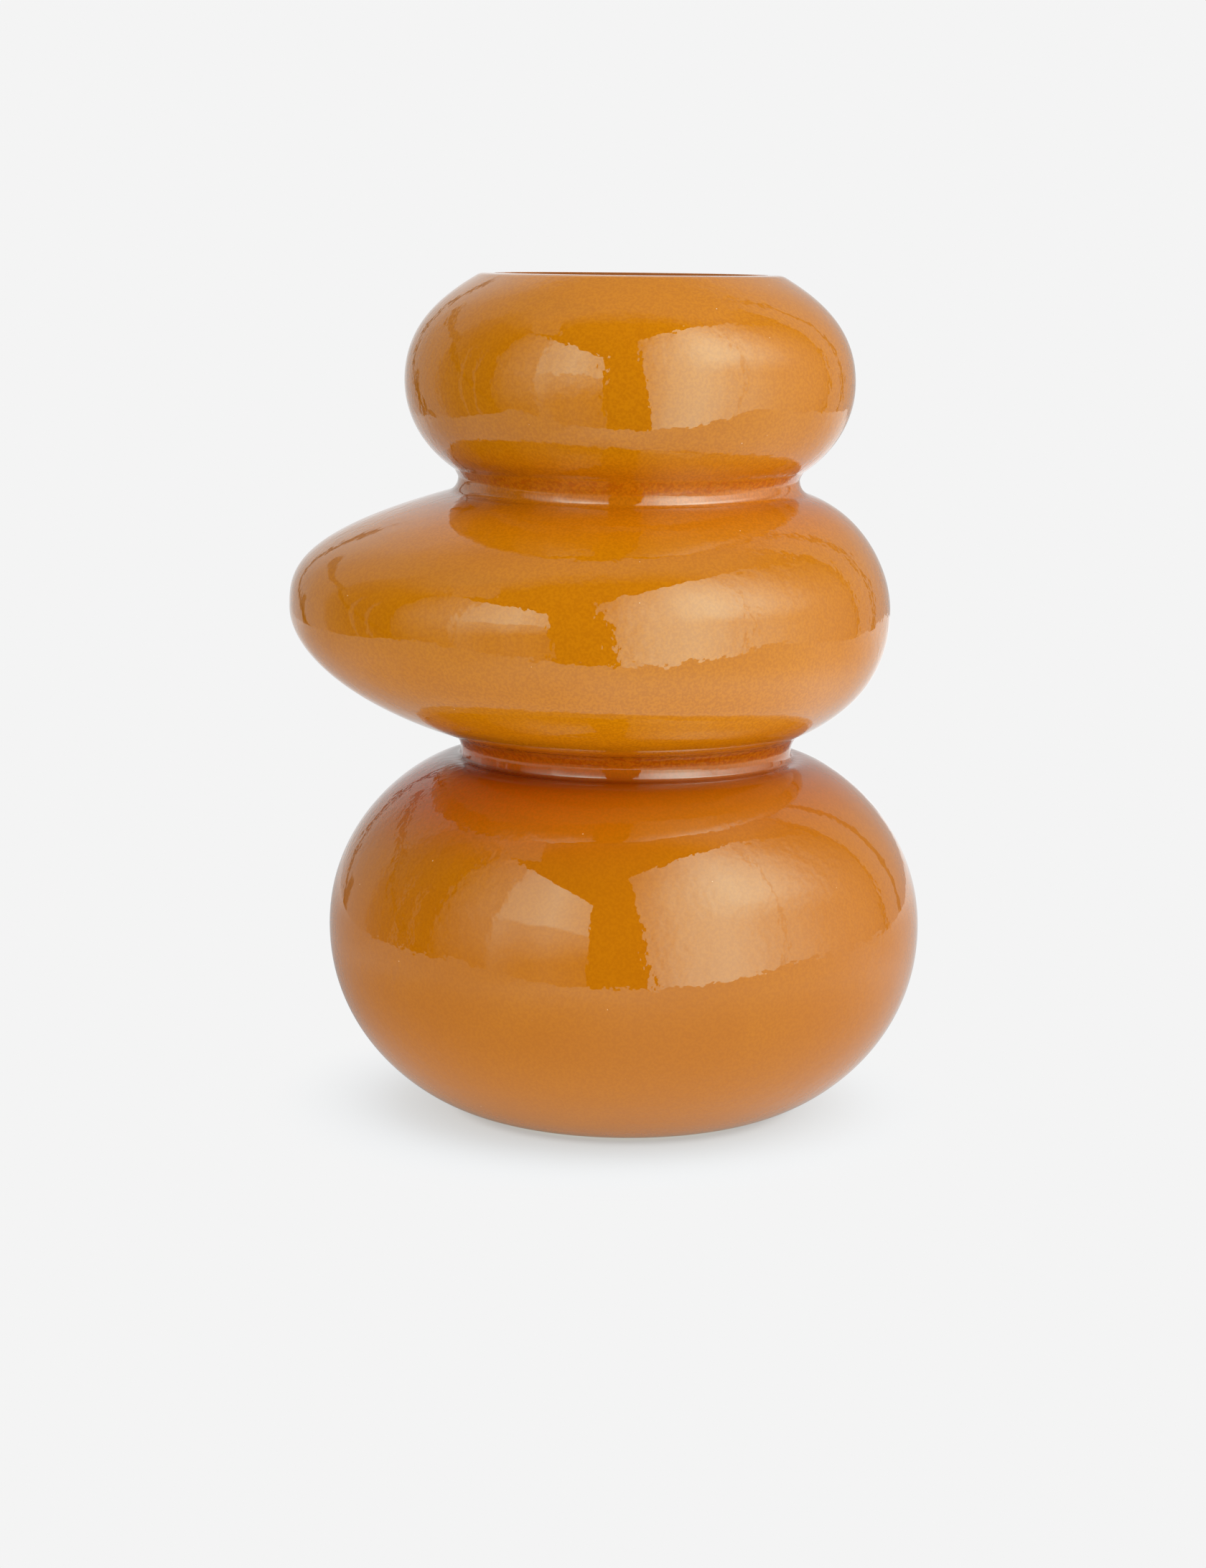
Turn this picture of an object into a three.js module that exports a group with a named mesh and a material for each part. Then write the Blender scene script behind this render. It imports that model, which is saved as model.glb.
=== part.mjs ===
// A blown-glass flower vase: three pebble-shaped bulges stacked on one axis, in opaque amber glass lined with clear.
// Sizes are in millimetres and +Z is up. The origin is the centre of the ground foot, where the vase stands.
// The front faces -Y. The middle pebble is egg-shaped, and its long end points to -X.
import * as THREE from "three";
import { LoftGeometry } from "three/addons/geometries/LoftGeometry.js";

// Height of each pebble, stacked on the foot and measured between the waists of the necks
const basePebbleHeight = 101.0;
const middlePebbleHeight = 74.0;
const topPebbleHeight = 55.0;

// Height of each pebble's widest ring above that pebble's lower end
const baseEquatorRise = 51.2;
const middleEquatorRise = 38.6;
const topEquatorRise = 26.1;

// Reach of each pebble from the axis
const baseRadius = 81.9;
const middleLongReach = 92.7;
const middleShortReach = 72.1;
const middleFrontReach = 79.6;
const topRadius = 61.3;

// Necks: the radius at the waist, and the length of the upright wall below and above the waist
const lowerNeckRadius = 45.7;
const lowerWallBelow = 2.8;
const lowerWallAbove = 3.3;
const upperNeckRadius = 46.7;
const upperSideWallBelow = 3.2;
const upperSideWallAbove = 1.5;
const upperFrontWallBelow = 1.5;
const upperFrontWallAbove = 3.6;

// How much lower the waist of the upper neck hangs at the front and the back than at the two sides
const upperWaistSag = 2.6;

// Foot and mouth
const footRadius = 38.2;
const rimRadius = 40.9;
const rimSlope = 31;
const rimBevel = 0.6;
const mouthBevel = 0.8;

// Layers of glass, with the gap that keeps the two bodies apart where they are fused in the real vase
const amberFootThickness = 4.0;
const amberRimThickness = 2.0;
const layerGap = 0.3;
const liningThickness = 1.2;

// Slopes in degrees above the horizontal where the pebbles leave the necks
const baseShoulderSlope = 3.5;
const topUndersideSlope = 34.2;
const longSlopes = { underside: 17.6, shoulder: 16.2 };
const shortSlopes = { underside: 25.8, shoulder: 19.4 };
const frontSlopes = { underside: 14.4, shoulder: 26.9 };

// Fullness of each quarter of a pebble, at its widest ring and at its other end, and of each neck's walls, at the
// waist and at the other end: 0 is slack and 1 is square
const baseUnderside = [0.642, 0.342];
const baseShoulder = [0.675, 0.22];
const longUnderside = [0.532, 0.693];
const longShoulder = [0.511, 0.97];
const shortUnderside = [0.744, 0.619];
const shortShoulder = [0.458, 0.673];
const frontUnderside = [0.563, 0.681];
const frontShoulder = [0.383, 0.888];
const topUnderside = [0.517, 0.749];
const topShoulder = [0.97, 0.42];
const lowerNeckBelow = [0.95, 0.95];
const lowerNeckAbove = [0.49, 0.49];
const upperSideBelow = [0.65, 0.65];
const upperSideAbove = [0.3, 0.3];
const upperFrontBelow = [0.9, 0.9];
const upperFrontAbove = [0.45, 0.45];

// Facets around the vase, and along each stretch of its profile from the foot to the rim
const facetsAround = 36;
const facetsAlong = [6, 6, 3, 3, 5, 5, 3, 3, 4, 6];

const lowerNeckHeight = basePebbleHeight;
const upperNeckHeight = basePebbleHeight + middlePebbleHeight;
const vaseHeight = basePebbleHeight + middlePebbleHeight + topPebbleHeight;
const radians = THREE.MathUtils.degToRad;

// The outward direction in which a pebble leaves a neck; its slope is negative where the pebble lies below the neck
function outwards(slope) {
  return new THREE.Vector2(Math.cos(radians(slope)), Math.sin(radians(slope)));
}

// Where a pebble leaves a neck: as far past the corner as the neck's upright wall is long
function neckEnd(waist, wall, direction) {
  const corner = new THREE.Vector2(waist.x, waist.y + Math.sign(direction.y) * wall);
  return corner.addScaledVector(direction, wall);
}

// A quarter of the outline, from an upright place to its end; its handles reach towards the corner of their tangents.
// The upright place is the widest ring of a pebble or the waist of a neck.
function quarter(upright, end, direction, fullness) {
  const corner = end.clone().addScaledVector(direction, (upright.x - end.x) / direction.x);
  const uprightHandle = upright.clone().lerp(corner, fullness[0]);
  const endHandle = end.clone().lerp(corner, fullness[1]);
  return new THREE.CubicBezierCurve(upright, uprightHandle, endHandle, end);
}

// The same quarter drawn the other way, from its end to its upright place
function reversed(curve) {
  return new THREE.CubicBezierCurve(curve.v3, curve.v2, curve.v1, curve.v0);
}

// One side of the outline from the edge of the foot to the corner of the rim; x is the radius and y the height
function sideProfile(middle, upper) {
  const offBase = outwards(-baseShoulderSlope);
  const offUnderside = outwards(middle.slopes.underside);
  const offShoulder = outwards(-middle.slopes.shoulder);
  const offTop = outwards(topUndersideSlope);
  const lowerWaist = new THREE.Vector2(lowerNeckRadius, lowerNeckHeight);
  const upperWaist = new THREE.Vector2(upperNeckRadius, upperNeckHeight - upper.sag);
  const baseEnd = neckEnd(lowerWaist, lowerWallBelow, offBase);
  const undersideEnd = neckEnd(lowerWaist, lowerWallAbove, offUnderside);
  const shoulderEnd = neckEnd(upperWaist, upper.wallBelow, offShoulder);
  const topEnd = neckEnd(upperWaist, upper.wallAbove, offTop);
  const footEdge = new THREE.Vector2(footRadius, 0);
  const rimCorner = new THREE.Vector2(rimRadius, vaseHeight);
  const baseEquator = new THREE.Vector2(baseRadius, baseEquatorRise);
  const middleEquator = new THREE.Vector2(middle.reach, lowerNeckHeight + middleEquatorRise);
  const topEquator = new THREE.Vector2(topRadius, upperNeckHeight + topEquatorRise);
  return [
    reversed(quarter(baseEquator, footEdge, outwards(0), baseUnderside)),
    quarter(baseEquator, baseEnd, offBase, baseShoulder),
    reversed(quarter(lowerWaist, baseEnd, offBase, lowerNeckBelow)),
    quarter(lowerWaist, undersideEnd, offUnderside, lowerNeckAbove),
    reversed(quarter(middleEquator, undersideEnd, offUnderside, middle.underside)),
    quarter(middleEquator, shoulderEnd, offShoulder, middle.shoulder),
    reversed(quarter(upperWaist, shoulderEnd, offShoulder, upper.below)),
    quarter(upperWaist, topEnd, offTop, upper.above),
    reversed(quarter(topEquator, topEnd, offTop, topUnderside)),
    quarter(topEquator, rimCorner, outwards(-rimSlope), topShoulder),
  ];
}

const upperSideNeck = {
  sag: 0,
  wallBelow: upperSideWallBelow,
  wallAbove: upperSideWallAbove,
  below: upperSideBelow,
  above: upperSideAbove,
};
const upperFrontNeck = {
  sag: upperWaistSag,
  wallBelow: upperFrontWallBelow,
  wallAbove: upperFrontWallAbove,
  below: upperFrontBelow,
  above: upperFrontAbove,
};
const longMiddle = {
  reach: middleLongReach,
  slopes: longSlopes,
  underside: longUnderside,
  shoulder: longShoulder,
};
const shortMiddle = {
  reach: middleShortReach,
  slopes: shortSlopes,
  underside: shortUnderside,
  shoulder: shortShoulder,
};
const frontMiddle = {
  reach: middleFrontReach,
  slopes: frontSlopes,
  underside: frontUnderside,
  shoulder: frontShoulder,
};
const longSide = sideProfile(longMiddle, upperSideNeck);
const shortSide = sideProfile(shortMiddle, upperSideNeck);
const frontSide = sideProfile(frontMiddle, upperFrontNeck);

// The outline at an angle around the axis: long side at -X, short side at +X, front and back between them
function outlinePoint(angle, stretch, t) {
  const c = Math.cos(angle);
  const shortShare = (c * c + c) / 2;
  const longShare = (c * c - c) / 2;
  const point = frontSide[stretch].getPoint(t).multiplyScalar(1 - c * c);
  point.addScaledVector(shortSide[stretch].getPoint(t), shortShare);
  return point.addScaledVector(longSide[stretch].getPoint(t), longShare);
}

// The outline moved into the glass, square to the surface, by a depth that follows the height
function glassPoint(angle, { stretch, t }, depthAt) {
  const step = 0.001;
  const point = outlinePoint(angle, stretch, t);
  const ahead = outlinePoint(angle, stretch, Math.min(1, t + step));
  const along = ahead.sub(outlinePoint(angle, stretch, Math.max(0, t - step))).normalize();
  const depth = depthAt(point.y);
  return new THREE.Vector2(point.x - depth * along.y, point.y + depth * along.x);
}

// Places along the outline where the facets meet, from the foot to the rim
const stations = [{ stretch: 0, t: 0 }];
facetsAlong.forEach((count, stretch) => {
  for (let i = 1; i <= count; i++) {
    stations.push({ stretch, t: i / count });
  }
});

// A ring of points around the axis from a function of the angle
function ring(pointAt) {
  const points = [];
  for (let i = 0; i < facetsAround; i++) {
    const angle = (i / facetsAround) * 2 * Math.PI;
    const point = pointAt(angle);
    points.push(new THREE.Vector3(point.x * Math.cos(angle), point.x * Math.sin(angle), point.y));
  }
  return points;
}

const roundRing = (radius, height) => ring(() => new THREE.Vector2(radius, height));
const wallRings = (depthAt) => stations.map((station) => ring((angle) => glassPoint(angle, station, depthAt)));

// Radius at which a layer of the given depth meets the flat cut of the rim
const rimLine = (depth) => rimRadius - depth / Math.sin(radians(rimSlope));

// Depths of the four glass surfaces; the amber layer thins out from the foot to the rim
const amberOutside = () => 0;
const amberInside = (height) => {
  const share = THREE.MathUtils.clamp(height / vaseHeight, 0, 1);
  return THREE.MathUtils.lerp(amberFootThickness, amberRimThickness, share);
};
const liningOutside = (height) => amberInside(height) + layerGap;
const liningInside = (height) => liningOutside(height) + liningThickness;

// A glass layer, closed: up its outside, over the rim and down its inside, from the axis to the axis
function glassLayer(outsideRings, rimRings, insideRings, undersideHeight, floorHeight) {
  return new LoftGeometry([
    roundRing(0, undersideHeight),
    ...outsideRings,
    ...rimRings,
    ...insideRings.reverse(),
    roundRing(0, floorHeight),
  ]);
}

function amberOuterGlass() {
  const slope = radians(rimSlope);
  const outside = wallRings(amberOutside).slice(0, -1);
  const rim = [
    roundRing(rimRadius + rimBevel * Math.cos(slope), vaseHeight - rimBevel * Math.sin(slope)),
    roundRing(rimRadius - rimBevel, vaseHeight),
    roundRing(rimLine(amberRimThickness), vaseHeight),
  ];
  return glassLayer(outside, rim, wallRings(amberInside), 0, amberFootThickness);
}

function clearInnerGlass() {
  const outerRimDepth = amberRimThickness + layerGap;
  const mouthRadius = rimLine(outerRimDepth + liningThickness) + mouthBevel;
  const rim = [
    roundRing(rimLine(outerRimDepth), vaseHeight),
    roundRing(mouthRadius, vaseHeight),
    roundRing(mouthRadius, vaseHeight - mouthBevel * Math.tan(radians(rimSlope))),
  ];
  const underside = amberFootThickness + layerGap;
  return glassLayer(wallRings(liningOutside), rim, wallRings(liningInside), underside, underside + liningThickness);
}

function part(name, geometry, material) {
  const mesh = new THREE.Mesh(geometry, material);
  mesh.name = name;
  return mesh;
}

const amberGlass = new THREE.MeshStandardMaterial({ color: 0xc67a0c, roughness: 0.08, metalness: 0 });
const clearGlass = new THREE.MeshStandardMaterial({
  color: 0xf6efe2, roughness: 0.05, metalness: 0, transparent: true, opacity: 0.3,
});

const vase = new THREE.Group();
vase.name = "pebble_vase";
vase.add(part("amber_outer_glass", amberOuterGlass(), amberGlass));
vase.add(part("clear_inner_glass", clearInnerGlass(), clearGlass));

export default vase;
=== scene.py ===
# Looks of a glass vase of three stacked pebbles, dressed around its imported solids.
# Metres, +Z up; the front faces -Y and the long end of the middle pebble points to -X.
import math
import bpy
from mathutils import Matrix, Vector


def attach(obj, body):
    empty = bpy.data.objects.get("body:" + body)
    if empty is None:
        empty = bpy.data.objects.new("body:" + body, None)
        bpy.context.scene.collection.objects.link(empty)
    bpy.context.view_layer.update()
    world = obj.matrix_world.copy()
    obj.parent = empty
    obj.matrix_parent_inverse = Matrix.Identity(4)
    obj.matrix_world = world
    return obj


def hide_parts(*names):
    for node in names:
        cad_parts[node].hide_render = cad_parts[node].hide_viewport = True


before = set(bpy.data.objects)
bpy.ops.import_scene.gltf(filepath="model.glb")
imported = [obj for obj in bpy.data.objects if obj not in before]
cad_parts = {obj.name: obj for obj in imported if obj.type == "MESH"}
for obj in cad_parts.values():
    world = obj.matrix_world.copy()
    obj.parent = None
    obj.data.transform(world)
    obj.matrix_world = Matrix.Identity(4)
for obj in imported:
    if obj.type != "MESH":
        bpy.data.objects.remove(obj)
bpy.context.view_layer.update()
scene = bpy.context.scene
scene.view_settings.view_transform = "Standard"
mm = 0.001
micrometre = 0.000001
backdropWhite = 0.905   # what the camera sees of the table and of the room behind it
print("frame loaded:", sorted(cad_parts))


class Wire:
    # one socket of a node tree, so that sums of values read as plain arithmetic
    def __init__(self, tree, socket=None):
        self.tree = tree
        self.socket = socket

    def node(self, kind, settings=None, values=None, out=0):
        made = self.tree.nodes.new(kind)
        for key, value in (settings or {}).items():
            if key == "stops":
                self.fillRamp(made.color_ramp, value)
            else:
                setattr(made, key, value)
        for key, value in (values or {}).items():
            if isinstance(value, Wire):
                self.tree.links.new(value.socket, made.inputs[key])
            else:
                made.inputs[key].default_value = value
        if not made.outputs:
            return made
        return Wire(self.tree, made.outputs[out])

    def fillRamp(self, ramp, stops):
        while len(ramp.elements) < len(stops):
            ramp.elements.new(0.5)
        for element, (place, level) in zip(ramp.elements, stops):
            element.position = place
            element.color = (level, level, level, 1)

    def other(self, name):
        return Wire(self.tree, self.socket.node.outputs[name])

    def sum(self, operation, a, b=0.0):
        return self.node("ShaderNodeMath", {"operation": operation}, {0: a, 1: b})

    def __add__(self, b):
        return self.sum("ADD", self, b)

    def __sub__(self, b):
        return self.sum("SUBTRACT", self, b)

    def __mul__(self, b):
        return self.sum("MULTIPLY", self, b)

    def __truediv__(self, b):
        return self.sum("DIVIDE", self, b)

    def __mod__(self, b):
        return self.sum("MODULO", self, b)

    def __lt__(self, b):
        return self.sum("LESS_THAN", self, b)

    def __abs__(self):
        return self.sum("ABSOLUTE", self)

    def __radd__(self, a):
        return self.sum("ADD", a, self)

    def __rsub__(self, a):
        return self.sum("SUBTRACT", a, self)

    def __rmul__(self, a):
        return self.sum("MULTIPLY", a, self)

    def __rtruediv__(self, a):
        return self.sum("DIVIDE", a, self)


def smooth(value, start, full):
    # 0 at start and 1 at full, whichever of the two is larger
    return value.node("ShaderNodeMapRange", {"interpolation_type": "SMOOTHSTEP"},
                      {"Value": value, "From Min": start, "From Max": full})


def near(value, place, halfWidth, soft):
    return smooth(abs(value - place), halfWidth + soft, halfWidth)


def mixColour(share, under, over):
    # under is a colour or a wire, over is a colour
    first = under if isinstance(under, Wire) else (*under, 1)
    return share.node("ShaderNodeMix", {"data_type": "RGBA"}, {0: share, 6: first, 7: (*over, 1)}, out=2)


def noise(place, scale, detail=2.0, roughness=0.5, distortion=0.0):
    return place.node("ShaderNodeTexNoise", None, {"Vector": place, "Scale": scale, "Detail": detail,
                      "Roughness": roughness, "Distortion": distortion})


def wave(place, *sizes):
    return noise(place, *sizes) - 0.5   # a noise that swings about zero


def lengthOf(vector):
    return vector.node("ShaderNodeVectorMath", {"operation": "LENGTH"}, {0: vector}, out="Value")


def bumpOf(height):
    # heights in micrometres
    return height.node("ShaderNodeBump", None, {"Strength": 1.0, "Distance": micrometre, "Height": height})


def headingOf(x):
    # degrees from the front towards +X
    return x.sum("ARCTAN2", x, 0 - x.other("Y")) * math.degrees(1)


def brightnessAt(heading, levels):
    # levels are pairs of a heading and how bright it is there
    first, last = levels[0][0], levels[-1][0]
    top = max(level for _, level in levels)
    stops = [((place - first) / (last - first), level / top) for place, level in levels]
    share = heading.node("ShaderNodeMapRange", None,
                         {"Value": heading, "From Min": first, "From Max": last})
    level = heading.node("ShaderNodeValToRGB", {"stops": stops}, {0: share})
    return heading.node("ShaderNodeRGBToBW", None, {0: level}) * top


def newMaterial(name):
    material = bpy.data.materials.new(name)
    material.use_nodes = True
    material.node_tree.nodes.clear()
    return material, Wire(material.node_tree)


def showObject(name, data):
    made = bpy.data.objects.new(name, data)
    scene.collection.objects.link(made)
    return made


# camera at the photo's angle; millimetres and degrees
cameraView = {
    "place": (-6.16, -900.0, 239.27), "aim": (-6.16, 0.0, 89.9), "roll": 0.622,
    "lens": 75.41, "film": 36.0, "clipStart": 10.0,
}


def addCamera():
    data = bpy.data.cameras.new("photoCamera")
    data.sensor_fit = "VERTICAL"
    data.sensor_height = cameraView["film"]
    data.lens = cameraView["lens"]
    data.clip_start = cameraView["clipStart"] * mm
    camera = showObject("photoCamera", data)
    place = Vector(cameraView["place"]) * mm
    aim = Vector(cameraView["aim"]) * mm
    camera.location = place
    camera.rotation_euler = (aim - place).to_track_quat("-Z", "Y").to_euler()
    camera.rotation_euler.rotate_axis("Z", math.radians(cameraView["roll"]))
    scene.camera = camera


addCamera()
print("camera set")


# shape of the glass: millimetres and degrees, by the rule that the solids follow
vaseShape = {
    "baseHeight": 101.0, "middleHeight": 74.0, "topHeight": 55.0,
    "baseRise": 51.2, "middleRise": 38.6, "topRise": 26.1,
    "baseRadius": 81.9, "topRadius": 61.3,
    "lowerNeck": 45.7, "upperNeck": 46.7,
    "footRadius": 38.2, "rimRadius": 40.9, "rimSlope": 31.0,
    "baseSlope": 3.5, "topSlope": 34.2,
    "baseUnder": (0.642, 0.342), "baseShoulder": (0.675, 0.22),
    "topUnder": (0.517, 0.749), "topShoulder": (0.97, 0.42),
}
middleSides = {
    "long": {"reach": 92.7, "underSlope": 17.6, "shoulderSlope": 16.2, "neck": "side",
             "under": (0.532, 0.693), "shoulder": (0.511, 0.97)},
    "short": {"reach": 72.1, "underSlope": 25.8, "shoulderSlope": 19.4, "neck": "side",
              "under": (0.744, 0.619), "shoulder": (0.458, 0.673)},
    "front": {"reach": 79.6, "underSlope": 14.4, "shoulderSlope": 26.9, "neck": "front",
              "under": (0.563, 0.681), "shoulder": (0.383, 0.888)},
}

# upright walls of the necks below and above the waist; the upper waist sags at the front and the back
lowerWalls = {"below": 2.8, "above": 3.3, "belowFullness": (0.95, 0.95), "aboveFullness": (0.49, 0.49)}
upperWalls = {
    "side": {"sag": 0.0, "below": 3.2, "above": 1.5,
             "belowFullness": (0.65, 0.65), "aboveFullness": (0.3, 0.3)},
    "front": {"sag": 2.6, "below": 1.5, "above": 3.6,
              "belowFullness": (0.9, 0.9), "aboveFullness": (0.45, 0.45)},
}
lowerNeckHeight = vaseShape["baseHeight"]
upperNeckHeight = lowerNeckHeight + vaseShape["middleHeight"]
vaseHeight = upperNeckHeight + vaseShape["topHeight"]


def slopeVector(degrees, sign):
    return Vector((math.cos(math.radians(degrees)), sign * math.sin(math.radians(degrees))))


def pebbleQuarter(equator, end, away, fullness, rising):
    # one curve from upright at the equator, or at a waist, to the slope at its end
    corner = end + away * ((equator.x - end.x) / away.x)
    points = [equator, equator.lerp(corner, fullness[0]), end.lerp(corner, fullness[1]), end]
    if rising:
        points.reverse()
    a, b, c, d = points

    def at(t):
        u = 1 - t
        return a * u ** 3 + b * (3 * u * u * t) + c * (3 * u * t * t) + d * t ** 3
    return at


def neckJoint(waist, wall, away):
    # where a pebble leaves the neck: past the corner at the end of the neck's upright wall
    corner = waist + Vector((0, wall if away.y > 0 else -wall))
    return corner + away * wall


def sideStretches(side):
    s = vaseShape
    walls = upperWalls[side["neck"]]
    baseAway = slopeVector(s["baseSlope"], -1)
    underAway = slopeVector(side["underSlope"], 1)
    shoulderAway = slopeVector(side["shoulderSlope"], -1)
    topAway = slopeVector(s["topSlope"], 1)
    lower = Vector((s["lowerNeck"], lowerNeckHeight))
    upper = Vector((s["upperNeck"], upperNeckHeight - walls["sag"]))
    baseEnd = neckJoint(lower, lowerWalls["below"], baseAway)
    underEnd = neckJoint(lower, lowerWalls["above"], underAway)
    shoulderEnd = neckJoint(upper, walls["below"], shoulderAway)
    topEnd = neckJoint(upper, walls["above"], topAway)
    base = Vector((s["baseRadius"], s["baseRise"]))
    middle = Vector((side["reach"], lowerNeckHeight + s["middleRise"]))
    top = Vector((s["topRadius"], upperNeckHeight + s["topRise"]))
    foot = Vector((s["footRadius"], 0))
    rim = Vector((s["rimRadius"], vaseHeight))
    return [
        pebbleQuarter(base, foot, Vector((1, 0)), s["baseUnder"], True),
        pebbleQuarter(base, baseEnd, baseAway, s["baseShoulder"], False),
        pebbleQuarter(lower, baseEnd, baseAway, lowerWalls["belowFullness"], True),
        pebbleQuarter(lower, underEnd, underAway, lowerWalls["aboveFullness"], False),
        pebbleQuarter(middle, underEnd, underAway, side["under"], True),
        pebbleQuarter(middle, shoulderEnd, shoulderAway, side["shoulder"], False),
        pebbleQuarter(upper, shoulderEnd, shoulderAway, walls["belowFullness"], True),
        pebbleQuarter(upper, topEnd, topAway, walls["aboveFullness"], False),
        pebbleQuarter(top, topEnd, topAway, s["topUnder"], True),
        pebbleQuarter(top, rim, slopeVector(s["rimSlope"], -1), s["topShoulder"], False),
    ]


def wallPoints(side, counts, depthAt):
    # the outline moved into the glass, square to the surface
    points = []
    step = 0.001
    for at, count in zip(sideStretches(side), counts):
        for i in range(0 if not points else 1, count + 1):
            t = i / count
            point = at(t)
            along = (at(min(1, t + step)) - at(max(0, t - step))).normalized()
            depth = depthAt(point.y)
            points.append(Vector((point.x - depth * along.y, point.y + depth * along.x)))
    return points


def turnCorner(before, corner, after, leg, steps):
    # a small rounded edge between two straight runs
    a = corner + (before - corner).normalized() * leg
    b = corner + (after - corner).normalized() * leg
    points = []
    for i in range(steps + 1):
        t = i / steps
        points.append(a * (1 - t) ** 2 + corner * (2 * t * (1 - t)) + b * t * t)
    return points


def rimLine(depth):
    inset = depth / math.sin(math.radians(vaseShape["rimSlope"]))
    return Vector((vaseShape["rimRadius"] - inset, vaseHeight))


# the cut at the mouth: steps of its rounded edges, and the millimetres beside them that hold no other point
rimCut = {"outerSteps": 8, "innerSteps": 6, "spare": 0.3}


def layerSection(side, layer):
    # half of a layer's cross-section: from the axis up its outside, over the rim and down its inside
    def depthAt(name):
        low, high = layer[name]
        return lambda height: low + (high - low) * min(1, max(0, height / vaseHeight))

    def clearOf(points, corner, edge):
        return [p for p in points if (p - corner).length > edge + rimCut["spare"]]

    outer = rimLine(layer["outsideDepth"][1])
    inner = rimLine(layer["insideDepth"][1])
    middle = (outer + inner) / 2
    outside = wallPoints(side, layer["outsideRows"], depthAt("outsideDepth"))
    outside = clearOf(outside, outer, layer["outerEdge"])
    inside = wallPoints(side, layer["insideRows"], depthAt("insideDepth"))
    inside = clearOf(inside, inner, layer["innerEdge"])
    rim = turnCorner(outside[-1], outer, middle, layer["outerEdge"], rimCut["outerSteps"])
    rim += turnCorner(middle, inner, inside[-1], layer["innerEdge"], rimCut["innerSteps"])
    underside = [Vector((outside[0].x * share, outside[0].y)) for share in layer["discRows"]]
    floor = [Vector((inside[0].x * share, inside[0].y)) for share in layer["discRows"]]
    return underside + outside + rim + inside[::-1] + floor[::-1]


def loftTree():
    # one grid wrapped round the axis; each row lies between the three sections by its angle
    tree = bpy.data.node_groups.new("pebbleLoft", "GeometryNodeTree")
    wanted = [("Long Section", "Object"), ("Short Section", "Object"), ("Front Section", "Object"),
              ("Rows", "Int"), ("Facets Around", "Int"), ("Glass", "Material")]
    keys = {}
    for name, kind in wanted:
        socket = tree.interface.new_socket(name, in_out="INPUT", socket_type="NodeSocket" + kind)
        keys[name] = socket.identifier
    tree.interface.new_socket("Geometry", in_out="OUTPUT", socket_type="NodeSocketGeometry")
    given = Wire(tree).node("NodeGroupInput")
    rows = given.other("Rows")
    around = given.other("Facets Around")
    body = given.node("GeometryNodeMeshGrid", None,
                      {"Vertices X": around + 1, "Vertices Y": rows}, out="Mesh")
    index = given.node("GeometryNodeInputIndex")
    row = index % rows
    column = given.sum("FLOOR", (index + 0.5) / rows)   # the half keeps rounding from losing a column
    angle = column / around * math.tau
    across = given.sum("COSINE", angle)
    depth = given.sum("SINE", angle)
    shares = {
        "Long Section": (across * across - across) / 2,
        "Short Section": (across * across + across) / 2,
        "Front Section": 1 - across * across,
    }
    place = given.node("GeometryNodeInputPosition")
    point = None
    for name, share in shares.items():
        info = given.node("GeometryNodeObjectInfo", None, {"Object": given.other(name)}, out="Geometry")
        sampled = given.node("GeometryNodeSampleIndex", {"data_type": "FLOAT_VECTOR", "domain": "POINT"},
                             {"Geometry": info, "Value": place, "Index": row})
        part = given.node("ShaderNodeVectorMath", {"operation": "SCALE"}, {0: sampled, "Scale": share})
        if point is None:
            point = part
        else:
            point = given.node("ShaderNodeVectorMath", {"operation": "ADD"}, {0: point, 1: part})
    split = given.node("ShaderNodeSeparateXYZ", None, {0: point})
    wrapped = given.node("ShaderNodeCombineXYZ", None,
                         {"X": split * across, "Y": split * depth, "Z": split.other("Z")})
    body = given.node("GeometryNodeSetPosition", None, {"Geometry": body, "Position": wrapped})
    body = given.node("GeometryNodeStoreNamedAttribute", {"data_type": "FLOAT", "domain": "POINT"},
                      {"Geometry": body, "Name": "along", "Value": row + 0.0})
    body = given.node("GeometryNodeMergeByDistance", None, {"Geometry": body, "Distance": micrometre})
    body = given.node("GeometryNodeSetShadeSmooth", None, {"Geometry": body, "Shade Smooth": True})
    body = given.node("GeometryNodeRealizeInstances", None, {"Geometry": body})
    body = given.node("GeometryNodeSetMaterial", None,
                      {"Geometry": body, "Material": given.other("Glass")})
    given.node("NodeGroupOutput", None, {0: body})
    return tree, keys


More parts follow.
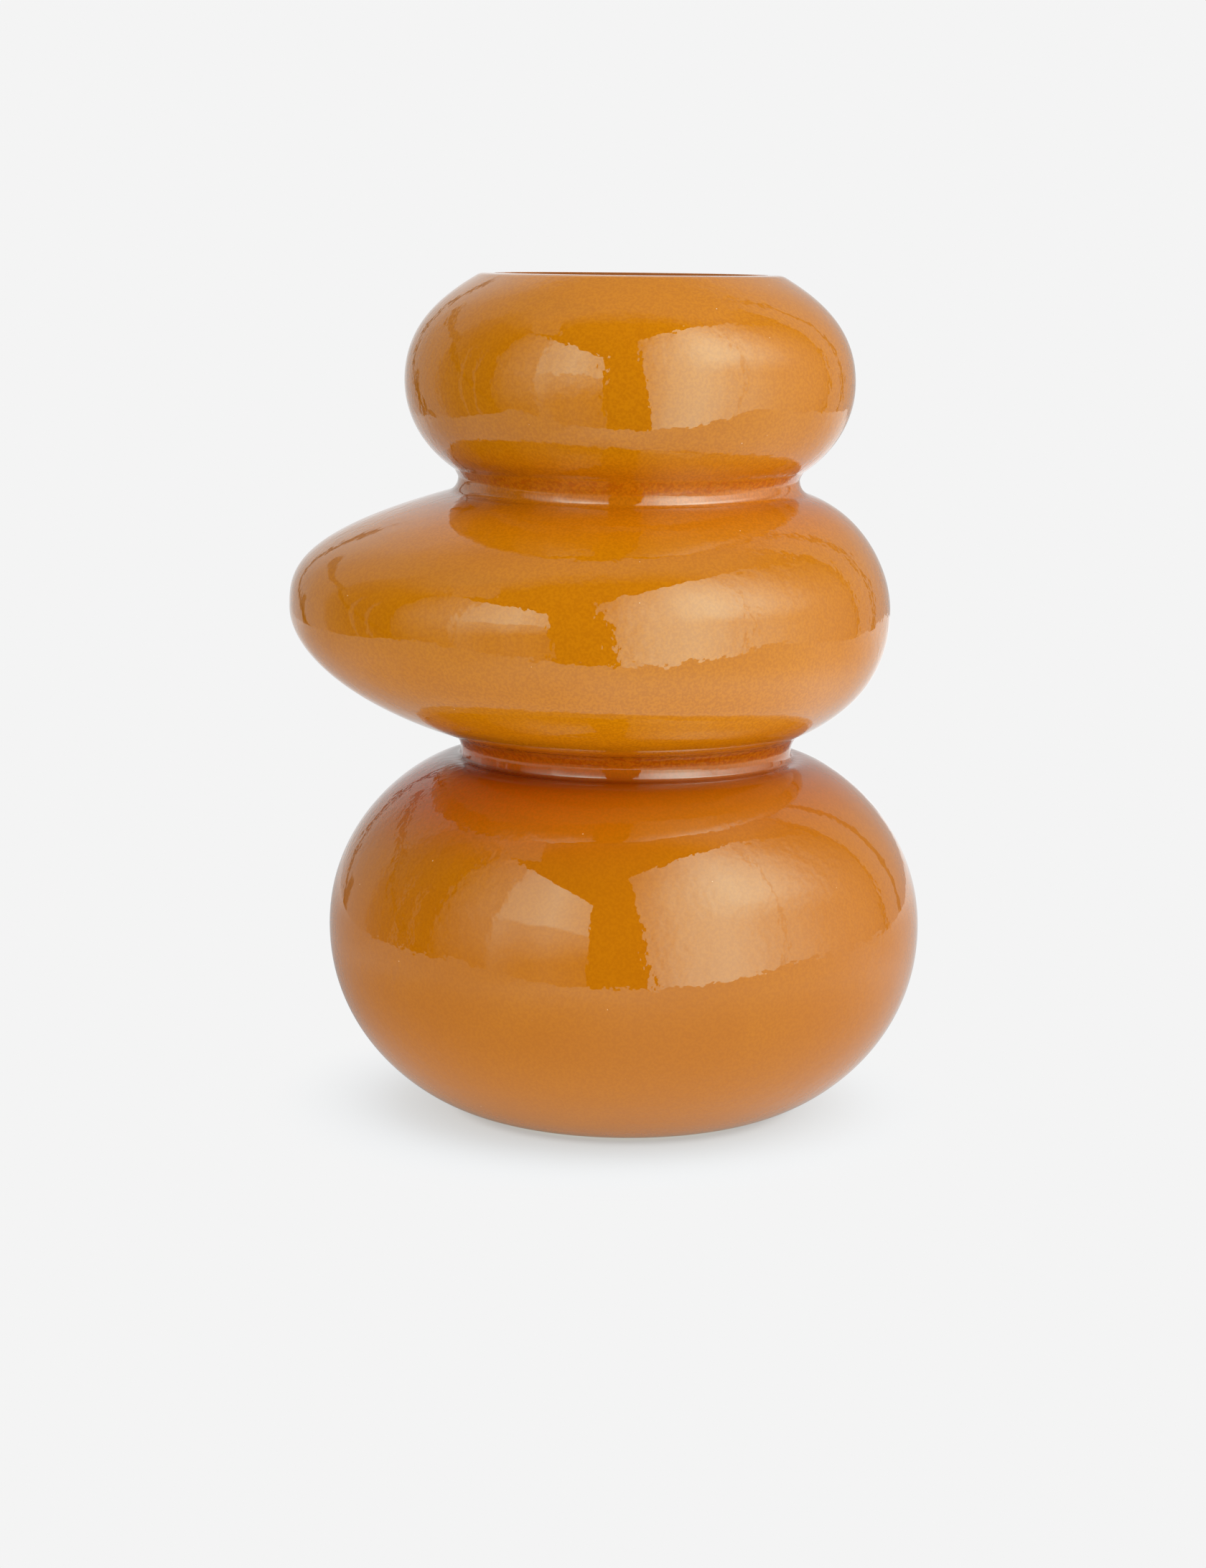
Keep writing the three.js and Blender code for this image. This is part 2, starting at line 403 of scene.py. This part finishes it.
def loftLayer(name, layer, material):
    guides = {}
    for side, sizes in middleSides.items():
        section = layerSection(sizes, layer)
        mesh = bpy.data.meshes.new(side + "Guide")
        mesh.from_pydata([(p.x * mm, 0, p.y * mm) for p in section], [], [])
        guides[side] = showObject(side + "Guide", mesh)
    rows = len(section)
    tree, keys = loftTree()
    piece = showObject(name, bpy.data.meshes.new(name))
    modifier = piece.modifiers.new("loft", "NODES")
    modifier.node_group = tree
    modifier[keys["Long Section"]] = guides["long"]
    modifier[keys["Short Section"]] = guides["short"]
    modifier[keys["Front Section"]] = guides["front"]
    modifier[keys["Rows"]] = rows
    modifier[keys["Facets Around"]] = layer["around"]
    modifier[keys["Glass"]] = material
    graph = bpy.context.evaluated_depsgraph_get()
    made = bpy.data.meshes.new_from_object(piece.evaluated_get(graph),
                                           preserve_all_data_layers=True, depsgraph=graph)
    piece.modifiers.remove(modifier)
    piece.data = made
    made.name = name
    made.materials.clear()
    made.materials.append(material)
    made.polygons.foreach_set("material_index", [0] * len(made.polygons))
    for guide in guides.values():
        bpy.data.objects.remove(guide)
    print(name, "rows", rows, "faces", len(made.polygons))
    return piece


# amber glass, opaque: colours are linear, lengths metres, bump heights micrometres
# noises are scale, detail, roughness and distortion; a pair is where a thing starts and where it is full
# three numbers are a middle, its half width and its soft edge
amberFinish = {
    # the last colour on the next line is painted light for the upper crevice
    "amber": (0.446, 0.152, 0.0014), "deep": (0.390, 0.118, 0.0012), "warmCreviceLight": (0.58, 0.160, 0.0010),
    "fold": (0.37, 0.058, 0.0010), "fleck": (0.325, 0.090, 0.0008),
    # the next three colours are painted crevice shade, painted crease shade and painted light for the
    # undersides
    "redCreviceShade": (0.53, 0.092, 0.0010), "creaseShade": (0.23, 0.020, 0.0008), "paintedLight": (0.60, 0.212, 0.0016),
    "seed": (0.80, 0.62, 0.36), "ground": (0.62, 0.34, 0.12),
    "ior": 1.6, "shine": (0.62, 1.0, 0.84), "coatGloss": 0.03,
    # how deep the colour is: clouds, more towards the foot, and a fine mottle
    "cloudStretch": (1, 1, 1.8), "clouds": (24.0, 3.0, 0.5, 0.6), "cloudShare": 0.55,
    "towardsFoot": (0.200, 0.020), "footShare": 0.45,
    "mottle": (900.0, 2.0, 0.6), "mottleShare": 0.10, "depth": (0.15, 0.85),
    "grain": (1400.0, 1.0), "grainLevels": (0.35, 0.65), "grainShare": 0.4,
    # painted shade in the lower crevice and the crease, painted light in the upper crevice and on the
    # undersides beside the necks; the crevices are wider under the long end, the less lit side; heights are
    # from the waist
    "longEnd": (0.030, -0.045), "inward": (0.080, 0.050), "longEndMore": (0.010, 0.006),
    "lowerCreviceShade": {"top": (0.008, 0.002), "bottom": (-0.029, -0.0055),
                     "share": 0.45, "longEndShare": 0.55},
    "upperCreviceLight": {"top": (0.012, 0.0), "bottom": (-0.021, -0.005), "share": 0.7},
    "creaseShadeLine": {"height": (-0.0045, 0.0022, 0.0008), "inward": (0.056, 0.0475),
                   "share": 0.12, "longEndShare": 0.66},
    "lowerUndersideLight": {"top": (0.047, 0.004), "bottom": (-0.001, 0.003),
                       "inward": (0.105, 0.055), "share": 1.0},
    "upperUndersideLight": {"top": (0.022, 0.007), "bottom": (-0.007, 0.001),
                       "inward": (0.066, 0.050), "share": 0.55},
    # folds above the waists, with painted shade and darker pits, and sheens below them, in rows of the grid
    # from the waist
    "lowerFold": (5.5, 3.0, 1.5), "upperFold": (4.0, 1.6, 1.4), "upperFoldShare": 0.7,
    "pits": (1000.0, 1.0), "pitLevels": (0.44, 0.60), "foldShadeShare": 0.25, "pitShare": 0.6,
    "lowerSheen": (-5.0, 3.0, 1.5), "upperSheen": (-3.5, 3.5, 1.5), "sheenFromSide": (0.010, 0.030),
    "undersideSheen": {"height": (0.016, 0.008, 0.008), "across": (0.075, 0.045), "share": 0.6},
    # seeds are a few small bubbles at the surface
    "seedScale": 150.0, "seedChance": 0.45, "seedEdge": (0.030, 0.016), "seedShare": 0.7,
    "seedHeight": 12.0,
    "groundHeight": (0.0008, 0.0002), "groundShare": 0.7,
    "smudges": (38.0, 4.0, 0.6), "smudgeLevels": (0.48, 0.75),
    "roughness": {"gloss": 0.012, "smudge": 0.015, "fold": 0.12, "creaseShade": 0.2, "ground": 0.45},
    # waves in the glass, higher on the middle pebble; its heights are from the lower waist
    "swell": (95.0, 1.0), "swellHeight": 90.0, "middleAbove": (0.039, 0.020, 0.020), "middleSwell": 60.0,
    "ripple": (420.0, 1.5, 0.45), "rippleHeight": 20.0,
    "patches": (30.0, 1.0), "patchLevels": (0.35, 0.65), "patchRipple": 80.0,
    "orangePeel": (1100.0, 1.0), "peelHeight": 1.0, "lowerFoldPeel": 60.0, "upperFoldPeel": 40.0,
    "steepAbove": (0.025, 0.059), "steepHeight": 950.0,
    "steeperAbove": (0.044, 0.059), "steeperHeight": 650.0,
    "steepMiddle": -0.005, "steepAcross": (0.060, 0.010), "steepFront": (-0.010, -0.040),
}


def amberGlass(lowerWaist, upperWaist):
    # the waists are rows of the grid
    look = amberFinish
    material, w = newMaterial("amberGlass")
    place = w.node("ShaderNodeTexCoord", out="Object")
    x = w.node("ShaderNodeSeparateXYZ", None, {0: place})
    y = x.other("Y")
    z = x.other("Z")
    aboveLower = z - lowerNeckHeight * mm
    aboveUpper = z - upperNeckHeight * mm
    radius = lengthOf(w.node("ShaderNodeVectorMath", {"operation": "MULTIPLY"}, {0: place, 1: (1, 1, 0)}))
    along = w.node("ShaderNodeAttribute", {"attribute_name": "along"}, None, out="Fac")

    def between(above, zone):
        return smooth(above, *zone["top"]) * smooth(above, *zone["bottom"])

    def underside(above, zone):
        return between(above, zone) * smooth(radius, *zone["inward"]) * zone["share"]

    def rowsFrom(waist, rows):
        middle, halfWidth, soft = rows
        return near(along, waist + middle, halfWidth, soft)

    stretched = w.node("ShaderNodeMapping", None, {"Vector": place, "Scale": look["cloudStretch"]})
    depth = noise(stretched, *look["clouds"]) * look["cloudShare"]
    depth = depth + smooth(z, *look["towardsFoot"]) * look["footShare"]
    depth = depth + wave(place, *look["mottle"]) * look["mottleShare"]
    colour = mixColour(smooth(depth, *look["depth"]), look["amber"], look["deep"])

    # painted light and shade: the undersides lighter, the lower crevice and the crease redder and darker,
    # the upper crevice warmer and lighter; the painted shade is deepest under the long end, the less lit
    # side
    longEnd = smooth(x, *look["longEnd"])
    start, full = look["inward"]
    moreStart, moreFull = look["longEndMore"]
    inward = smooth(radius, longEnd * moreStart + start, longEnd * moreFull + full)
    lower, upper, line = look["lowerCreviceShade"], look["upperCreviceLight"], look["creaseShadeLine"]
    lowerCreviceShade = between(aboveLower, lower) * inward * (lower["share"] + longEnd * lower["longEndShare"])
    # painted light in the upper crevice
    upperCreviceLight = between(aboveUpper, upper) * inward * upper["share"]
    # painted shade along the crease where the lower neck's wall meets the base pebble
    creaseShade = smooth(radius, *line["inward"]) * near(aboveLower, *line["height"])
    creaseShade = creaseShade * (line["share"] + longEnd * line["longEndShare"])
    # painted light on the undersides beside the necks
    undersideLight = underside(aboveLower, look["lowerUndersideLight"])
    undersideLight = undersideLight + underside(aboveUpper, look["upperUndersideLight"])
    colour = mixColour(undersideLight, colour, look["paintedLight"])
    colour = mixColour(lowerCreviceShade, colour, look["redCreviceShade"])
    colour = mixColour(upperCreviceLight, colour, look["warmCreviceLight"])
    colour = mixColour(creaseShade, colour, look["creaseShade"])

    # painted shade in the folds above the waists, darker still in the pits
    lowerFold = rowsFrom(lowerWaist, look["lowerFold"])
    upperFold = rowsFrom(upperWaist, look["upperFold"]) * look["upperFoldShare"]
    folds = lowerFold + upperFold
    pits = smooth(noise(place, *look["pits"]), *look["pitLevels"])
    colour = mixColour(folds * (look["foldShadeShare"] + pits * look["pitShare"]), colour, look["fold"])
    flecks = smooth(noise(place, *look["grain"]), *look["grainLevels"])
    colour = mixColour(flecks * look["grainShare"], colour, look["fleck"])
    cells = w.node("ShaderNodeTexVoronoi", None,
                   {"Vector": place, "Scale": look["seedScale"]}, out="Distance")
    few = w.node("ShaderNodeSeparateColor", None, {0: cells.other("Color")}) < look["seedChance"]
    seed = smooth(cells, *look["seedEdge"]) * few
    colour = mixColour(seed * look["seedShare"], colour, look["seed"])
    ground = smooth(z, *look["groundHeight"])
    colour = mixColour(ground * look["groundShare"], colour, look["ground"])

    rough = look["roughness"]
    smudge = smooth(noise(place, *look["smudges"]), *look["smudgeLevels"])
    roughness = rough["gloss"] + smudge * rough["smudge"] + folds * rough["fold"]
    roughness = roughness + creaseShade * rough["creaseShade"] + ground * rough["ground"]
    sheen = rowsFrom(lowerWaist, look["lowerSheen"]) + rowsFrom(upperWaist, look["upperSheen"])
    sheen = sheen * smooth(abs(y), *look["sheenFromSide"])
    belly = look["undersideSheen"]
    sheen = sheen + near(aboveLower, *belly["height"]) * smooth(abs(x), *belly["across"]) * belly["share"]

    middle = near(aboveLower, *look["middleAbove"])
    patches = smooth(noise(place, *look["patches"]), *look["patchLevels"])
    swell = wave(place, *look["swell"]) * (look["swellHeight"] + middle * look["middleSwell"])
    ripple = wave(place, *look["ripple"]) * (look["rippleHeight"] + patches * look["patchRipple"])
    peelHeight = look["peelHeight"] + lowerFold * look["lowerFoldPeel"] + upperFold * look["upperFoldPeel"]
    orangePeel = wave(place, *look["orangePeel"]) * peelHeight
    # below its shoulder the front of the middle pebble mirrors as if it stood a little steeper
    steep = smooth(aboveLower, *look["steepAbove"]) * look["steepHeight"]
    steep = steep + smooth(aboveLower, *look["steeperAbove"]) * look["steeperHeight"]
    steep = steep * smooth(abs(x - look["steepMiddle"]), *look["steepAcross"])
    steep = steep * smooth(y, *look["steepFront"])
    bump = bumpOf(swell + ripple + orangePeel + seed * look["seedHeight"] + steep)
    glass = w.node("ShaderNodeBsdfPrincipled", None, {
        "Base Color": colour, "Roughness": roughness, "IOR": look["ior"],
        "Specular Tint": (*look["shine"], 1), "Normal": bump,
        "Coat Weight": sheen, "Coat Roughness": look["coatGloss"]})
    w.node("ShaderNodeOutputMaterial", None, {"Surface": glass})
    return material


# clear glass inside, warmed by the amber that shows through it and given a painted glow; cords are streaks
# drawn out along the vase
clearFinish = {
    "tint": (0.52, 0.27, 0.09), "cord": (0.44, 0.20, 0.06), "glow": (0.34, 0.16, 0.05), "paintedGlowStrength": 1.0,
    "ior": 1.5, "gloss": 0.03, "veil": 0.30,
    "drawn": (1, 1, 0.25), "cords": (70.0, 3.0, 0.55, 0.8), "cordLevels": (0.40, 0.70),
    "cordShare": 0.6, "cordVeil": 0.08,
    "smudges": (45.0, 3.0), "smudgeLevels": (0.50, 0.75), "smudgeRoughness": 0.03,
    "swell": (110.0, 2.0), "swellHeight": 18.0,
}


def clearGlass():
    look = clearFinish
    material, w = newMaterial("clearGlass")
    place = w.node("ShaderNodeTexCoord", out="Object")
    drawn = w.node("ShaderNodeMapping", None, {"Vector": place, "Scale": look["drawn"]})
    cords = smooth(noise(drawn, *look["cords"]), *look["cordLevels"])
    colour = mixColour(cords * look["cordShare"], look["tint"], look["cord"])
    smudge = smooth(noise(place, *look["smudges"]), *look["smudgeLevels"])
    # the emission is a painted glow: the glass is no lamp
    glass = w.node("ShaderNodeBsdfPrincipled", None, {
        "Base Color": colour, "Roughness": look["gloss"] + smudge * look["smudgeRoughness"],
        "IOR": look["ior"], "Alpha": look["veil"] + cords * look["cordVeil"],
        "Normal": bumpOf(wave(drawn, *look["swell"]) * look["swellHeight"]),
        "Emission Color": (*look["glow"], 1), "Emission Strength": look["paintedGlowStrength"]})
    w.node("ShaderNodeOutputMaterial", None, {"Surface": glass})
    return material


# the two layers of glass; depths are millimetres into the wall, at the foot and at the rim;
# rows are counted for each stretch of the outline, and the discs' rows are shares of the foot's radius
amberLayer = {
    "outsideDepth": (0.0, 0.0), "outsideRows": (40, 36, 14, 10, 36, 36, 14, 8, 30, 36),
    "insideDepth": (4.0, 2.0), "insideRows": (14, 12, 5, 4, 12, 12, 5, 3, 10, 12),
    "outerEdge": 1.2, "innerEdge": 0.12, "discRows": (0.0, 0.5, 0.9, 0.97), "around": 224,
    "lowerNeckStretches": 3, "upperNeckStretches": 7,   # how many lie below each waist
}
clearLayer = {
    "outsideDepth": (3.96, 1.96), "outsideRows": (14, 12, 5, 4, 12, 12, 5, 3, 10, 12),
    "insideDepth": (5.5, 3.5), "insideRows": (24, 20, 8, 6, 20, 20, 8, 6, 18, 24),
    "outerEdge": 0.12, "innerEdge": 0.9, "discRows": (0.0, 0.5, 0.9, 0.97), "around": 160,
}


def waistRow(stretches):
    return len(amberLayer["discRows"]) + sum(amberLayer["outsideRows"][:amberLayer[stretches]])


amberMaterial = amberGlass(waistRow("lowerNeckStretches"), waistRow("upperNeckStretches"))
amberPiece = loftLayer("amberOuterGlass", amberLayer, amberMaterial)
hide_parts("amber_outer_glass")
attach(amberPiece, "root")
clearPiece = loftLayer("clearInnerGlass", clearLayer, clearGlass())
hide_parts("clear_inner_glass")
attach(clearPiece, "root")
print("glass layers made")


# white table, ending in front of the vase; its paint takes the shadow, and further off it is plain white
# what the glass mirrors of it is set apart: near, far, left, right, behind the vase and at its far end,
# with painted shade to the left and a painted shadow to the near left and round the foot
tableTop = {
    "left": -0.52, "right": 0.70, "front": -0.28, "back": 1.20, "level": -0.0002,
    "paint": (0.70, 0.87, 0.98), "paintNear": (0.58, 0.84, 1.0), "nearFade": (0.078, 0.045),
    "shade": 0.40, "shadeShift": (0.005, 0, 0), "shadeFade": (0.099, 0.040),
    "contactShade": 0.18, "contactFade": (0.050, 0.043), "bounce": 1.62,
    "mirrorNear": 0.72, "mirrorFar": 1.05, "farFade": (0.10, 0.24),
    "mirrorRight": 0.06, "rightFade": (0.03, 0.30), "mirrorLeftShade": 0.42, "leftFade": (-0.05, -0.22),
    "mirrorBackLeft": 0.50, "mirrorBackRight": 0.78, "backFade": (-0.20, 0.25), "behindFade": (0.0, 0.15),
    "mirrorEnd": 0.32, "endFade": (0.20, 0.70),
    "mirrorShade": 0.32, "mirrorShadeFade": (0.26, 0.12), "mirrorShadeSide": (0.02, -0.06),
    "mirrorFootShadow": 0.4, "footShadowFade": (0.066, 0.046),
}


def addTable():
    t = tableTop
    mesh = bpy.data.meshes.new("tableTop")
    corners = [(t["left"], t["front"]), (t["right"], t["front"]),
               (t["right"], t["back"]), (t["left"], t["back"])]
    mesh.from_pydata([(x, y, t["level"]) for x, y in corners], [], [(0, 1, 2, 3)])
    table = showObject("tableTop", mesh)
    material, w = newMaterial("tableWhite")
    material.cycles.emission_sampling = "NONE"
    place = w.node("ShaderNodeTexCoord", out="Object")
    distance = lengthOf(place)
    x = w.node("ShaderNodeSeparateXYZ", None, {0: place})
    y = x.other("Y")
    mirrored = t["mirrorNear"] + smooth(distance, *t["farFade"]) * (t["mirrorFar"] - t["mirrorNear"])
    mirrored = mirrored - smooth(x, *t["rightFade"]) * t["mirrorRight"]
    # painted shade: what the glass mirrors of the table grows darker to the left
    mirrored = mirrored - smooth(x, *t["leftFade"]) * t["mirrorLeftShade"]
    back = t["mirrorBackLeft"] + smooth(x, *t["backFade"]) * (t["mirrorBackRight"] - t["mirrorBackLeft"])
    mirrored = mirrored + smooth(y, *t["behindFade"]) * (back - mirrored)
    mirrored = mirrored + smooth(y, *t["endFade"]) * t["mirrorEnd"]
    # painted shadow in what the glass mirrors, to the near left and round the foot
    shade = smooth(distance, *t["mirrorShadeFade"]) * smooth(x, *t["mirrorShadeSide"]) * t["mirrorShade"]
    mirrored = mirrored * (1 - shade) * (1 - smooth(distance, *t["footShadowFade"]) * t["mirrorFootShadow"])
    glossy = w.node("ShaderNodeLightPath", out="Is Glossy Ray")
    bounce = glossy.other("Is Diffuse Ray") * (t["bounce"] - backdropWhite)
    strength = backdropWhite + glossy * (mirrored - backdropWhite) + bounce
    plain = w.node("ShaderNodeEmission", None, {"Color": (1, 1, 1, 1), "Strength": strength})
    shifted = w.node("ShaderNodeVectorMath", {"operation": "ADD"}, {0: place, 1: t["shadeShift"]})
    shadowed = lengthOf(shifted)
    tone = mixColour(smooth(shadowed, *t["nearFade"]), t["paint"], t["paintNear"])
    paint = w.node("ShaderNodeBsdfDiffuse", None, {"Color": tone})
    painted = smooth(shadowed, *t["shadeFade"]) * t["shade"]
    painted = painted + smooth(distance, *t["contactFade"]) * t["contactShade"]
    mixed = w.node("ShaderNodeMixShader", None, {0: painted, 1: plain, 2: paint})
    w.node("ShaderNodeOutputMaterial", None, {"Surface": mixed})
    mesh.materials.append(material)


addTable()


# two windows in front; headings are degrees from the front towards +X, heights and distances metres
rightWindow = {
    "facing": 50.0, "distance": 1.10, "topHeight": 2.15, "bottomHeight": -1.0,
    "topLeft": 2.5, "bottomLeft": 12.0, "right": 119.0, "glow": 2.26,
    "levels": [(2, 0.95), (13, 1.95), (22, 2.95), (31, 3.6), (40, 4.65), (50, 5.3), (59, 4.75),
               (68, 3.95), (77, 2.95), (86, 1.95), (95, 1.1), (104, 0.68), (118, 0.35)],
    "mullion": (60.5, 0.5, 0.6), "mullionLean": 7.8, "mullionShade": 0.3,
    "lowHeight": (0.82, 0.40), "lowLeft": (25.0, 60.0), "lowRight": (110.0, 80.0), "lowShade": 0.5,
    "highHeight": (0.9, 2.1), "highShade": 0.38,
}
leftWindow = {
    "facing": -69.0, "distance": 0.83, "topHeight": 1.08, "bottomHeight": -0.9,
    "topLeft": -75.0, "bottomLeft": -75.0, "right": -13.5, "glow": 1.55,
    "levels": [(-75, 0.20), (-66, 0.58), (-52, 1.10), (-49, 2.2), (-38, 2.7), (-29, 3.35),
               (-20, 2.65), (-13, 2.1)],
    "middle": (-55.0, -35.0), "leanFrom": -40.0, "lean": 0.003,
    "sillHeight": (0.42, 0.37), "sillShade": 0.15, "sillMiddle": 0.30,
    "lowHeight": (0.37, -0.05), "lowShade": 0.52, "lowMiddle": -0.12,
}


def windowPoint(window, heading, height):
    facing = math.radians(window["facing"])
    turn = math.radians(heading) - facing
    reach = window["distance"] / math.cos(turn)
    return (reach * math.sin(facing + turn), -reach * math.cos(facing + turn), height)


def windowCorners(window):
    return [windowPoint(window, window["bottomLeft"], window["bottomHeight"]),
            windowPoint(window, window["right"], window["bottomHeight"]),
            windowPoint(window, window["right"], window["topHeight"]),
            windowPoint(window, window["topLeft"], window["topHeight"])]


def addPane(name, corners, strengthAt):
    mesh = bpy.data.meshes.new(name)
    mesh.from_pydata(corners, [], [(0, 1, 2, 3)])
    material, w = newMaterial(name)
    light = w.node("ShaderNodeEmission", None, {"Color": (1, 1, 1, 1), "Strength": strengthAt(w)})
    w.node("ShaderNodeOutputMaterial", None, {"Surface": light})
    mesh.materials.append(material)
    pane = showObject(name, mesh)
    pane.visible_camera = False
    return pane


def addWindow(name, window, shade):
    # one pane to be mirrored in the glass, and one that gives the same window's soft light
    def mirrored(w):
        x = w.node("ShaderNodeSeparateXYZ", None, {0: w.node("ShaderNodeTexCoord", out="Object")})
        heading = headingOf(x)
        return brightnessAt(heading, window["levels"]) * shade(window, heading, x.other("Z"))

    addPane(name + "Mirrored", windowCorners(window), mirrored).visible_diffuse = False
    addPane(name + "Glow", windowCorners(window), lambda w: window["glow"]).visible_glossy = False


def rightPanes(window, heading, height):
    mullion = near(heading - height * window["mullionLean"], *window["mullion"])
    low = smooth(height, *window["lowHeight"])
    low = low * smooth(heading, *window["lowLeft"]) * smooth(heading, *window["lowRight"])
    high = smooth(height, *window["highHeight"])
    shaded = (1 - mullion * window["mullionShade"]) * (1 - low * window["lowShade"])
    return shaded * (1 - high * window["highShade"])


def leftPanes(window, heading, height):
    middle = smooth(heading, *window["middle"])
    above = height - (heading - window["leanFrom"]) * window["lean"]
    sill = smooth(above, *window["sillHeight"]) * (window["sillShade"] + middle * window["sillMiddle"])
    low = smooth(above, *window["lowHeight"]) * (window["lowShade"] + middle * window["lowMiddle"])
    return 1 - sill - low


addWindow("rightWindow", rightWindow, rightPanes)
addWindow("leftWindow", leftWindow, leftPanes)

# soft light from above, not mirrored
softBox = {"left": -0.7, "right": 0.7, "front": -0.9, "back": 0.5, "height": 1.2, "glow": 2.25}


def addSoftBox():
    s = softBox
    edges = [(s["left"], s["front"]), (s["left"], s["back"]),
             (s["right"], s["back"]), (s["right"], s["front"])]
    corners = [(x, y, s["height"]) for x, y in edges]
    addPane("softBox", corners, lambda w: s["glow"]).visible_glossy = False


addSoftBox()

# a dim panel in the ceiling, above the left window; only mirrored
ceilingPanel = {
    "corners": [(-0.85, 0.015), (-0.56, -0.24), (-0.73, -0.59), (-1.06, -0.355)],
    "height": 1.4, "level": 0.42,
}


def addCeilingPanel():
    corners = [(x, y, ceilingPanel["height"]) for x, y in ceilingPanel["corners"]]
    addPane("ceilingPanel", corners, lambda w: ceilingPanel["level"]).visible_diffuse = False


addCeilingPanel()
print("table and windows set")


# the room: white backdrop behind, dim in front; the camera itself sees plain white
# headings and heights are degrees; a dark line is its heading, lean, half width and top
room = {
    "levels": [(-180, 0.95), (-165, 0.80), (-148, 0.60), (-143, 0.50), (-119, 0.42), (-116, 0.24),
               (-100, 0.09), (-78, 0.02), (12, 0.02), (116, 0.20), (121, 0.58), (136, 0.58), (150, 0.56),
               (168, 0.62), (180, 0.95)],
    "lines": [(-145.0, 0.8, 1.5, 22.0), (-139.0, 0.0, 2.4, 1.0), (-92.0, 1.14, 1.8, 22.0),
              (120.0, 0.0, 1.8, 60.0), (136.0, 0.0, 1.2, 60.0)],
    "lineSoft": 0.5, "lineEnd": 2.0, "lineShade": 0.7, "wobble": (7.0, 3.0), "lineWobble": 3.5,
    "strips": [-99.0, -90.0], "stripHalfWidth": 0.6, "stripSoft": 0.6, "stripTop": (30.0, 18.0),
    "stripLevel": 0.22,
    "ceilingHeight": (42.0, 62.0), "ceilingTop": 0.48,
    "ceilingFront": 0.03, "frontFade": (0.0, -0.30), "ceilingBack": 0.36, "backFade": (0.0, 0.45),
    "beamHeight": (25.0, 1.3, 0.8), "beamHeading": (-133.0, 17.0, 2.0), "beamWobble": 0.3, "beamShade": 0.6,
}


def addRoom():
    world = bpy.data.worlds.new("room")
    scene.world = world
    world.use_nodes = True
    world.node_tree.nodes.clear()
    w = Wire(world.node_tree)
    direction = w.node("ShaderNodeTexCoord", out="Generated")
    x = w.node("ShaderNodeSeparateXYZ", None, {0: direction})
    y = x.other("Y")
    heading = headingOf(x)
    height = w.sum("ARCSINE", x.other("Z")) * math.degrees(1)
    wall = brightnessAt(heading, room["levels"])
    wobble = wave(direction, *room["wobble"]) * room["lineWobble"]
    for place, lean, halfWidth, top in room["lines"]:
        line = near(heading + wobble + height * lean, place, halfWidth, room["lineSoft"])
        line = line * smooth(height, top + room["lineEnd"], top)
        wall = wall * (1 - line * room["lineShade"])
    for place in room["strips"]:
        strip = near(heading, place, room["stripHalfWidth"], room["stripSoft"])
        wall = wall + strip * smooth(height, *room["stripTop"]) * room["stripLevel"]
    overhead = room["ceilingTop"]
    ceiling = overhead - smooth(y, *room["frontFade"]) * (overhead - room["ceilingFront"])
    ceiling = ceiling - smooth(y, *room["backFade"]) * (overhead - room["ceilingBack"])
    up = smooth(height, *room["ceilingHeight"])
    beam = near(height + wobble * room["beamWobble"], *room["beamHeight"])
    beam = beam * near(heading, *room["beamHeading"])
    seen = (wall * (1 - up) + up * ceiling) * (1 - beam * room["beamShade"])
    camera = w.node("ShaderNodeLightPath", out="Is Camera Ray")
    strength = seen * (1 - camera) + camera * backdropWhite
    back = w.node("ShaderNodeBackground", None, {"Color": (1, 1, 1, 1), "Strength": strength})
    w.node("ShaderNodeOutputWorld", None, {"Surface": back})


addRoom()
print("room set")
